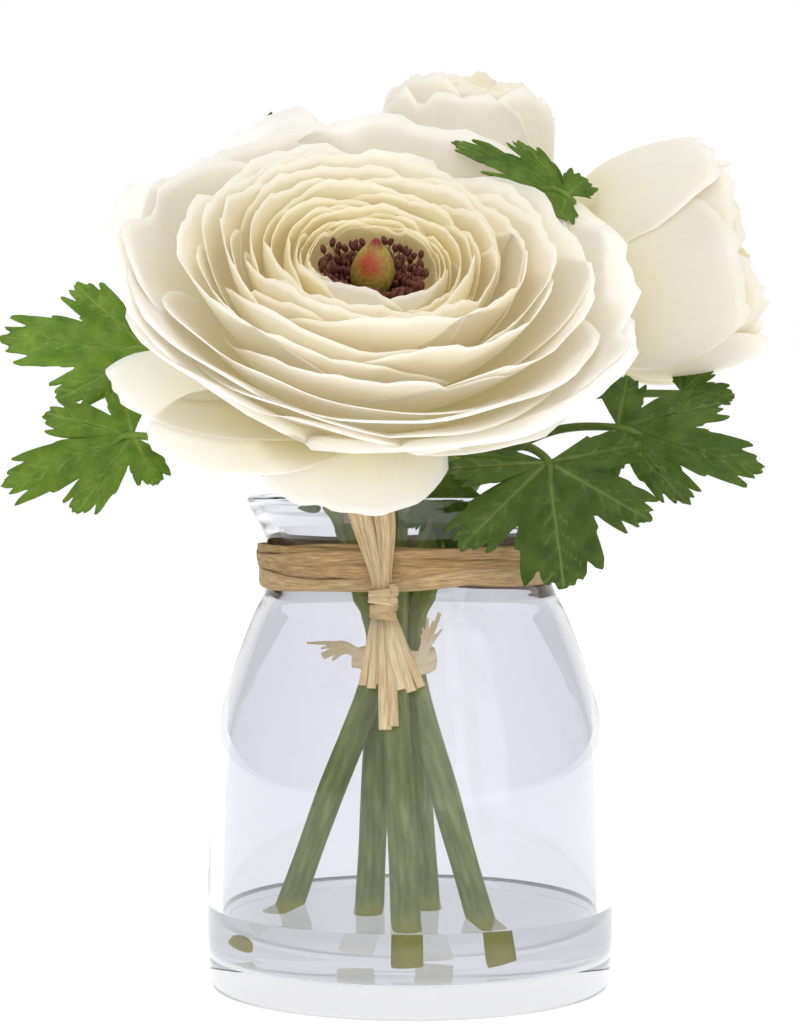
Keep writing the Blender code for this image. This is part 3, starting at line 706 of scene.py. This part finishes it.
def leaf_reach(degrees, seed):
    """How far the toothed blade reaches in each direction, as a share of the leaf's length."""
    draw = random.Random(seed)
    reach = np.full(degrees.shape, 0.30)
    for middle, share, half_width in LOBES:
        x = (degrees - middle) / half_width
        side = np.abs(x + draw.uniform(-0.06, 0.06))
        lobe = np.clip(1 - x**2, 0, 1) ** 0.55 * share * draw.uniform(0.93, 1.02)
        teeth = 0.10 * bell(side, 0.50, 0.09) - 0.11 * bell(side, 0.34, 0.06)
        teeth = teeth + 0.06 * bell(side, 0.78, 0.05)
        teeth = teeth - 0.06 * bell(side, 0.67, 0.04) - 0.05 * bell(side, 0.15, 0.05)
        reach = np.maximum(reach, lobe * (1 + teeth))
    fine = 0.012 * np.sin(degrees * 0.9 + seed) + 0.008 * np.sin(degrees * 2.1 + seed * 2)
    return np.minimum(reach * (1 + fine), 1.06)


def leaf_veins(x, y):
    """Strength, 0 to 1, of main and side veins at places on a blade of unit length."""
    vein = np.zeros(x.shape)
    nearest = np.full(x.shape, 9.0)
    direction = np.degrees(np.arctan2(y, x))
    for middle, share, _ in LOBES:
        turn = math.radians(middle)
        forward = x * math.cos(turn) + y * math.sin(turn)
        aside = np.abs(y * math.cos(turn) - x * math.sin(turn))
        away = np.abs(direction - middle)
        main = bell(aside, 0, 0.013 * np.clip(1.35 - forward / share, 0.25, 1.2))
        main = main * (forward > 0) * (forward < share * 0.97)
        stage = (forward - aside * 1.25) / 0.13
        side = bell((stage - np.round(stage)) * 0.13 / 1.6, 0, 0.006) * (aside < 0.26) * (forward > 0.10)
        own = np.maximum(main, side * 0.6)
        vein = np.where(away < nearest, np.maximum(own, main), np.maximum(vein, main))
        nearest = np.minimum(away, nearest)
    return vein


def make_leaf(name, material, base, tip, facing, droop, cup, petiole, breadth=1.0, tone=0.0, seed=1):
    """A lobed, veined blade from base to tip with its petiole."""
    base = np.array(base, float)
    length = float(np.linalg.norm(np.array(tip) - base))
    rotation, origin = frame_facing(base, facing, np.array(tip) - base)
    rays, rings = 236, 34
    degrees = np.linspace(-122, 122, rays + 1)
    part, direction = np.meshgrid(np.linspace(1 / rings, 1, rings), degrees, indexing="ij")
    reach = leaf_reach(degrees, seed)[None, :] * part
    x = reach * np.cos(np.radians(direction))
    y = reach * np.sin(np.radians(direction))
    vein = leaf_veins(x, y)
    y = y * breadth
    draw = random.Random(seed)
    wave = 0.030 * np.sin(np.radians(direction) * 3 + draw.uniform(0, 6))
    wave = wave + 0.014 * np.sin(np.radians(direction) * 8 + seed)
    lift = -droop * x * np.abs(x) + cup * y**2 + wave * part**2 - 0.014 * vein
    lift = lift + 0.010 * np.sin(23 * x) * np.sin(19 * y)
    sheet = np.stack([x, y, lift], -1).reshape(-1, 3) * length
    sheet = np.vstack([sheet, [(0, 0, 0)]])
    columns = rays + 1
    centre = len(sheet) - 1
    faces = [(centre, column, column + 1) for column in range(rays)]
    faces += [tuple(reversed(face)) for face in grid_faces(rings, columns)]
    points, faces = thicken(sheet @ rotation.T + origin, faces, 0.34)
    shape = Shape("tone", "vein")
    spread = np.tile(np.append(vein.ravel(), 1.0), 2)
    shape.add(points, faces, tone=tone, vein=spread, across=np.tile(np.append(x.ravel(), 0), 2),
              along=np.tile(np.append(y.ravel(), 0), 2))
    inner = np.array((length * 0.16, 0, -0.45)) @ rotation.T + origin
    under = np.array((-length * 0.02, 0, -0.5)) @ rotation.T + origin
    route = smooth_route([*petiole, under, inner], 40)
    taper = mix(PETIOLE_RADIUS, 0.45, np.linspace(0, 1, 40) ** 3)
    add_tube(shape, route, taper, taper, dict(tone=min(1, tone + 0.15), vein=0.35), sides=12, rough=0.05)
    stand_for(shape.build(name + "_blade", material), "leaf_green", name)


def beside(route, height, toward):
    """A point just off a stem's surface at a height, and one a little further out."""
    index = int(np.argmax(route[:, 2] > height))
    share = (height - route[index - 1, 2]) / (route[index, 2] - route[index - 1, 2])
    centre = mix(route[index - 1], route[index], share)
    along = route[index] - route[index - 1]
    along = along / np.linalg.norm(along)
    out = np.array(toward, float)
    out = out - along * out.dot(along)
    out = out / np.linalg.norm(out)
    return [centre + out * (STEM_RADIUS + 0.2), centre + out * (STEM_RADIUS + 2.4)]


def make_leaves(routes):
    green = leaf_material()
    left, right = routes["stem_left_leaves"], routes["stem_right_leaves"]
    main, back, side = routes["stem_main_bloom"], routes["stem_back_bloom"], routes["stem_right_bloom"]
    make_leaf(
        "leaf_left_upper", green, (-49.0, -7.0, 120.0), (-76.0, -11.0, 124.0), (0.1, -0.93, 0.36),
        0.10, 0.18,
        [*beside(left, 101.0, (-0.6, 0.1, 1)), (-34.0, -6.5, 112.0)],
        breadth=0.75, tone=0.95, seed=1,
    )
    make_leaf(
        "leaf_left_lower", green, (-51.0, -17.0, 104.0), (-74.5, -21.0, 96.0), (0.0, -0.96, 0.28),
        0.12, 0.16,
        [*beside(left, 95.0, (-1, -0.2, 0.2)), (-34.0, -11.0, 101.0)],
        breadth=0.7, tone=0.75, seed=2,
    )
    make_leaf(
        "leaf_front_right", green, (24.5, -31.5, 99.2), (27.4, -35.5, 76.4), (0.0, -1.0, 0.12),
        0.05, 0.06,
        [*beside(right, 99.0, (0.4, -1, 0.2)), (19.5, -22.5, 102.0)],
        breadth=1.28, tone=0.10, seed=3,
    )
    make_leaf(
        "leaf_right", green, (38.5, -13.0, 105.6), (66.6, -18.0, 97.4), (-0.1, -0.95, 0.30),
        0.10, 0.12,
        [*beside(side, 100.0, (1, -0.6, 0.1)), (27.0, -4.0, 105.0)],
        breadth=0.60, tone=0.15, seed=4,
    )
    make_leaf(
        "leaf_right_small", green, (52.0, 4.0, 112.5), (62.0, 2.0, 114.0), (0.0, -0.8, 0.6),
        0.10, 0.12,
        [*beside(side, 112.0, (1, -0.2, -0.6)), (36.0, 7.0, 112.0)],
        tone=0.2, seed=5,
    )
    make_leaf(
        "leaf_crown", green, (29.4, -7.0, 149.0), (8.6, -3.6, 161.6), (0.1, -0.9, 0.42),
        0.14, 0.30,
        [*beside(side, 120.0, (0.3, -1, 0.5)), (27.5, 2.5, 136.0), (31.8, -1.5, 144.5)],
        breadth=0.36, tone=0.55, seed=6,
    )
    make_leaf(
        "leaf_neck", green, (5.0, -16.5, 96.5), (8.0, -20.0, 82.5), (0.0, -1.0, 0.0),
        0.04, 0.10,
        [*beside(main, 88.0, (1, -0.8, 0)), (3.5, -11.5, 94.0)],
        breadth=0.8, tone=0.5, seed=7,
    )
    make_leaf(
        "leaf_back", green, (-18.0, 15.0, 142.5), (-26.0, 13.0, 166.6), (-0.2, -0.9, -0.3),
        0.06, 0.14,
        [*beside(back, 104.0, (-1, 0.5, 0.2)), (-11.0, 17.0, 122.0)],
        breadth=0.7, tone=0.3, seed=8,
    )
    return green


# Stems


def make_stems():
    material = stem_material()
    routes = {}
    for number, (name, controls) in enumerate(STEM_CONTROLS.items()):
        route = smooth_route(controls, 160)
        routes[name] = route
        share = np.linspace(0, 1, 160)
        radius = STEM_RADIUS * (0.97 + 0.03 * np.sin(13 * share + number) + 0.02 * np.sin(37 * share))
        shape = Shape("cut", "wet")
        points, faces, across, along = tube(
            route, radius, radius, sides=48, rough=0.035, seed=number, slant=0.7,
        )
        cut = np.zeros(len(points))
        cut[:48] = 1.0
        # Painted light below the water line, full at 1.5 mm under it and gone at 1.5 mm over it, at most
        # 0.8.
        wet = np.clip((WATER_LEVEL + 1.5 - points[:, 2]) / 3, 0, 1) * 0.8
        shape.add(points, faces, across=across, along=along, cut=cut, wet=wet)
        stand_for(shape.build(name + "_skin", material), "stem_green", name)
    return routes


# Raffia


def outer_radius(height):
    heights = [point[1] for point in VASE_OUTSIDE]
    radii = [point[0] for point in VASE_OUTSIDE]
    return float(np.interp(height, heights, radii))


def on_glass(x, height, stand_out):
    """A point in front of the vase's outside."""
    radius = outer_radius(height) + stand_out
    return (x, -math.sqrt(radius**2 - x**2), height)


def hoop(centre, half_sizes, height, sway, count=120, lap=0.12, turn=0.0):
    """Points round an upright hoop whose ends pass each other at the back."""
    angle = np.linspace(math.pi / 2 - lap, math.pi / 2 + 2 * math.pi + lap, count)
    grow = 0.35 * np.cos((angle - math.pi / 2) / 2) ** 8 * np.sign(angle - 1.5 * math.pi)
    x = centre[0] + (half_sizes[0] + grow) * np.cos(angle)
    y = centre[1] + (half_sizes[1] + grow) * np.sin(angle)
    return np.stack([x, y, height + sway * np.sin(angle * 2 + turn)], -1)


def make_raffia():
    # The straw outside the glass gets only a faint painted glow; the lit straw, a paler glowing copy for
    # the fibres inside the glass, is painted light where the lamps do not reach through the glass.
    straw = raffia_material("raffia", 0.04)
    lit_straw = raffia_material("raffia_lit_straw", 0.75)
    draw = random.Random(3)

    band = Shape("tone")
    for strand in range(9):
        layer = 27.75 + 0.16 * strand
        height = 80.0 + draw.uniform(-2.2, 2.2)
        sway = draw.uniform(0.4, 1.3)
        route = hoop((0, 0), (layer, layer), height, sway, 200, turn=draw.uniform(0, 6.28))
        half = draw.uniform(0.8, 1.7)
        wobble = half * (1 + 0.25 * np.sin(np.linspace(0, 30, 200) + strand))
        add_tube(band, route, wobble, 0.16, dict(tone=draw.uniform(0.0, 0.35)), across=(0, 0, 1), sides=14,
                 flatness=1.6, rough=0.12, seed=strand)
    stand_for(band.build("raffia_band_strands", straw), "raffia", "raffia_neck_band")

    # The tie inside the glass: pale tones on the lit straw, painted light.
    tie = Shape("tone")
    for strand in range(7):
        layer = 0.30 + 0.13 * strand
        height = 62.0 + draw.uniform(-1.6, 1.6)
        sway = draw.uniform(0.2, 0.7)
        half_sizes = (6.9 + layer, 10.0 + layer)
        route = hoop((-3.0, -0.6), half_sizes, height, sway, 90, turn=draw.uniform(0, 6.28))
        half = draw.uniform(0.6, 1.1)
        add_tube(tie, route, half, 0.14, dict(tone=draw.uniform(0.5, 0.95)), across=(0, 0, 1), sides=12,
                 flatness=1.6, rough=0.12, seed=strand + 20)
    stand_for(tie.build("raffia_tie_strands", lit_straw), "raffia", "raffia_stem_tie")

    upright = Shape("tone")
    lip_front = VASE_OUTSIDE[-1][0]
    for strand in range(7):
        side = mix(-1, 1, strand / 6)
        spread = side * 3.3
        stand_out = 0.25 * (strand % 3) + draw.uniform(0, 0.15)
        controls = [
            (-4.9 + spread * 0.22, -31.9 - stand_out, 74.6),
            (-5.4 + spread * 0.42, -31.0 - stand_out, 80.0),
            (-6.2 + spread * 0.80, -31.3 - stand_out, 86.0),
            (-7.0 + spread, -32.9 - stand_out, 91.0),
            (-7.3 + spread * 1.05, -lip_front + 0.2 - stand_out * 0.3, VASE_LIP + 1.9 + stand_out * 0.4),
            (-7.4 + spread * 1.05, -25.6, VASE_LIP + 0.5), (-7.4 + spread, -23.4, 88.6),
        ]
        half = draw.uniform(0.75, 1.05) * np.interp(np.linspace(0, 1, 60), [0, 0.4, 1], [0.65, 1.0, 1.0])
        tone = draw.uniform(0.25, 0.85)
        twist = draw.uniform(-0.35, 0.35)
        add_tube(upright, smooth_route(controls, 60), half, 0.16, dict(tone=tone), across=(1, 0, 0.05),
                 sides=14, flatness=1.6, rough=0.14, seed=strand + 40, twist=twist)
    stand_for(upright.build("raffia_upright_fibres", straw), "raffia", "raffia_upright_strands")

    knot = Shape("tone")
    for turn in range(4):
        height = mix(71.7, 75.6, turn / 3)
        angle = np.linspace(-0.35 * math.pi, 2.35 * math.pi, 60)
        lean = 0.9 if turn % 2 else -0.5
        wrap_x = -4.9 + (2.15 + 0.12 * turn) * np.cos(angle)
        wrap_y = -31.75 - (1.25 + 0.05 * turn) * np.sin(angle)
        wrap_z = height + lean * 0.5 * np.cos(angle) + 0.10 * angle
        route = np.stack([wrap_x, wrap_y, wrap_z], -1)
        add_tube(knot, route, 0.85, 0.20, dict(tone=draw.uniform(0.35, 0.75)), across=(0, 0, 1), sides=14,
                 flatness=1.6, rough=0.12, seed=turn + 60)
    stand_for(knot.build("raffia_knot_turns", straw), "raffia", "raffia_knot")

    # Tails: (node, strands as x at the knot, x at the end, end height and half width at the end).
    tails = {
        "raffia_tail_left": [(-6.6, -8.6, 59.4, 0.75), (-6.1, -7.0, 58.9, 0.85), (-5.7, -5.6, 59.6, 0.7)],
        "raffia_tail_center": [(-4.9, -4.5, 51.8, 1.15), (-4.4, -3.0, 52.4, 0.95)],
        "raffia_tail_right": [(-3.9, -1.6, 58.8, 0.85), (-3.4, 0.2, 58.4, 0.9), (-3.0, 1.9, 59.2, 0.8)],
    }
    for name, strands in tails.items():
        shape = Shape("tone")
        for knot_x, end_x, end_height, half in strands:
            share = np.linspace(0, 1, 26)
            bow = draw.uniform(-0.5, 0.5)
            out = draw.uniform(0.75, 1.25)
            route = []
            for s in share:
                x = mix(knot_x, end_x, s) + bow * math.sin(math.pi * s)
                route.append(on_glass(x, mix(71.4, end_height, s), out))
            width = half * np.interp(share, [0, 0.25, 1], [0.6, 0.85, 1.0])
            tone = draw.uniform(0.65, 1.0)
            add_tube(shape, route, width, 0.17, dict(tone=tone), across=(1, 0, 0), sides=14,
                     flatness=1.7, rough=0.14, seed=int(end_height * 10) % 97)
        stand_for(shape.build(name + "_fibres", straw), "raffia", name)

    # The tufts inside the glass: the palest tone on the lit straw, painted light.
    tufts = {
        "raffia_tuft_left": ((-8.6, -10.4, 62.6), (-12.5, -10.9, 64.2), (-17.0, -11.4, 63.6), (0, 0, 1)),
        "raffia_tuft_right": ((1.8, -11.6, 62.0), (3.2, -12.2, 66.0), (4.4, -12.4, 70.2), (1, 0, 0)),
    }
    for name, (start, middle, end, across) in tufts.items():
        shape = Shape("tone")
        for strand in range(12):
            fan = np.array([draw.uniform(-1, 1), draw.uniform(-0.4, 0.4), draw.uniform(-1, 1)])
            reach = draw.uniform(0.75, 1.0)
            finish = np.array(start) + (np.array(end) - np.array(start)) * reach + fan * 2.0
            route = smooth_route([np.array(start) + fan * 0.3, np.array(middle) + fan * 0.8, finish], 18)
            taper = np.interp(np.linspace(0, 1, 18), [0, 0.6, 1], [1, 1, 0.35])
            width = draw.uniform(0.35, 0.60) * taper
            add_tube(shape, route, width, 0.13, dict(tone=1.0), sides=10, across=across, flatness=1.5,
                     rough=0.12, seed=strand + 80, twist=draw.uniform(-0.5, 0.5))
        stand_for(shape.build(name + "_fibres", lit_straw), "raffia", name)


# Vase and water


def make_vase():
    outside = smooth_route([(radius, 0, height) for radius, height in VASE_OUTSIDE], 150)
    outside = [(radius, height) for radius, _, height in outside]
    inside = []
    for radius, height in outside:
        if height > VASE_FLOOR + VASE_FLOOR_FILLET:
            inside.append((radius - VASE_WALL, height))
    corner = []
    for step in range(12):
        turn = math.pi / 2 * step / 12
        height = VASE_FLOOR + VASE_FLOOR_FILLET * (1 - math.cos(turn))
        pull = VASE_FLOOR_FILLET * (1 - math.sin(turn))
        corner.append((outer_radius(height) - VASE_WALL - pull, height))
    floor = [(0, VASE_FLOOR), *[(radius, VASE_FLOOR + 0.02) for radius in (6, 14, 22)]]
    lip_radius = VASE_OUTSIDE[-1][0] - VASE_WALL / 2
    lip = []
    for step in range(1, 10):
        turn = math.pi * step / 10
        radius = lip_radius - VASE_WALL / 2 * math.cos(turn)
        lip.append((radius, VASE_OUTSIDE[-1][1] + 0.8 * math.sin(turn)))
    foot = [(36.4, 0.0), (31.5, 0.0), (22.0, 0.0), (10.0, 0.0), (0, 0.0)]
    profile = [*floor, *corner, *inside, *lip, *reversed(outside), *foot]
    shape = Shape()
    points, faces = turned_shell(profile, 160)
    shape.add(points, faces, across=points[:, 0], along=points[:, 2])
    glass = clear_material("glass", (0.78, 0.78, 0.815), 1.47, 0.0)
    stand_for(shape.build("vase_glass", glass), "clear_glass", "vase")

    # The water runs a hair into the glass, so that light passes from one to the other.
    overlap = 0.15
    profile = [(0, WATER_LEVEL), (20, WATER_LEVEL), (30, WATER_LEVEL)]
    edge = outer_radius(WATER_LEVEL) - VASE_WALL + overlap
    profile += [(edge - 1.6, WATER_LEVEL), (edge - 0.5, WATER_LEVEL + 0.03), (edge, WATER_LEVEL + 0.12)]
    for radius, height in reversed(corner):
        profile.append((radius + overlap, height - overlap * 0.7))
    profile += [(22, VASE_FLOOR - overlap), (10, VASE_FLOOR - overlap), (0, VASE_FLOOR - overlap)]
    shape = Shape()
    points, faces = turned_shell(profile, 128)
    shape.add(points, faces, across=points[:, 0], along=points[:, 2])
    clear = clear_material("water", (0.97, 0.98, 0.985), 1.333, 0.0)
    stand_for(shape.build("water_body", clear), "water", "water")


# Stage, light and camera


def make_stage():
    camera = bpy.data.cameras.new("camera")
    holder = bpy.data.objects.new("camera", camera)
    bpy.context.scene.collection.objects.link(holder)
    distance, eye, sideways, seen_height = 0.531, 0.101, -0.0019, 0.19456
    camera.sensor_width = 36.0
    camera.lens = camera.sensor_width * distance / seen_height
    camera.clip_start = 0.01
    holder.location = (sideways, -distance, eye)
    holder.rotation_euler = (math.radians(90 - 1.23), 0, 0)
    bpy.context.scene.camera = holder

    n = Nodes("floor")
    speckle = n.noise(n.object_place, 40)
    n.colour(n.ramp(speckle, [(0.3, (0.52, 0.52, 0.525)), (0.7, (0.55, 0.55, 0.555))]))
    n.put(Roughness=0.7, Emission_Strength=0.78)
    n.shader.inputs["Emission Color"].default_value = (1, 1, 1, 1)
    half = 2500
    shape = Shape()
    # The floor lies a hair above the vase's underside, so that the glass shows it without an air gap.
    level = 0.04
    corners = [(-half, -half, level), (half, -half, level), (half, half, level), (-half, half, level)]
    shape.add(corners, [(0, 1, 2, 3)])
    shape.build("floor", n.material)

    # A white studio whose walls grow grey to the left and right, out of the camera's view.
    world = bpy.data.worlds.new("studio")
    world.use_nodes = True
    tree = world.node_tree
    background = tree.nodes["Background"]
    direction = tree.nodes.new("ShaderNodeTexCoord")
    parts = tree.nodes.new("ShaderNodeSeparateXYZ")
    sideways_share = tree.nodes.new("ShaderNodeMath")
    sideways_share.operation = "ABSOLUTE"
    ramp = tree.nodes.new("ShaderNodeValToRGB")
    ramp.color_ramp.interpolation = "EASE"
    ramp.color_ramp.elements[0].position = 0.45
    ramp.color_ramp.elements[0].color = (1, 1, 1, 1)
    ramp.color_ramp.elements[1].position = 0.97
    ramp.color_ramp.elements[1].color = (0.16, 0.17, 0.20, 1)
    ramp.color_ramp.elements.new(0.80).color = (0.52, 0.53, 0.56, 1)
    tree.links.new(direction.outputs["Generated"], parts.inputs[0])
    tree.links.new(parts.outputs[0], sideways_share.inputs[0])
    tree.links.new(sideways_share.outputs[0], ramp.inputs[0])
    tree.links.new(ramp.outputs[0], background.inputs[0])
    background.inputs[1].default_value = 1.0
    bpy.context.scene.world = world

    # Lamps: (name, place, size, power).
    lamps = [("key", (-0.12, -0.38, 0.88), 0.6, 1.7), ("fill", (0.5, -0.8, 0.30), 0.9, 1.9)]
    for name, place, size, power in lamps:
        light = bpy.data.lights.new(name, "AREA")
        light.size = size
        light.energy = power
        lamp = bpy.data.objects.new(name, light)
        bpy.context.scene.collection.objects.link(lamp)
        lamp.location = place
        aim = Vector((0, 0, 0.11)) - Vector(place)
        lamp.rotation_euler = aim.to_track_quat("-Z", "Y").to_euler()
    bpy.context.scene.view_settings.view_transform = "Standard"


def main():
    make_stage()
    routes = make_stems()
    green = make_leaves(routes)
    cream = petal_material()
    make_main_bloom(cream)
    make_heart()
    make_side_bloom(RIGHT, "right_bloom", cream, 21)
    make_side_bloom(BACK, "back_bloom", cream, 34)
    MAIN.receptacle("main_sepals", green, "main_bloom_receptacle")
    RIGHT.receptacle("right_sepals", green, "right_bloom_receptacle")
    BACK.receptacle("back_sepals", green, "back_bloom_receptacle")
    make_raffia()
    make_vase()


main()
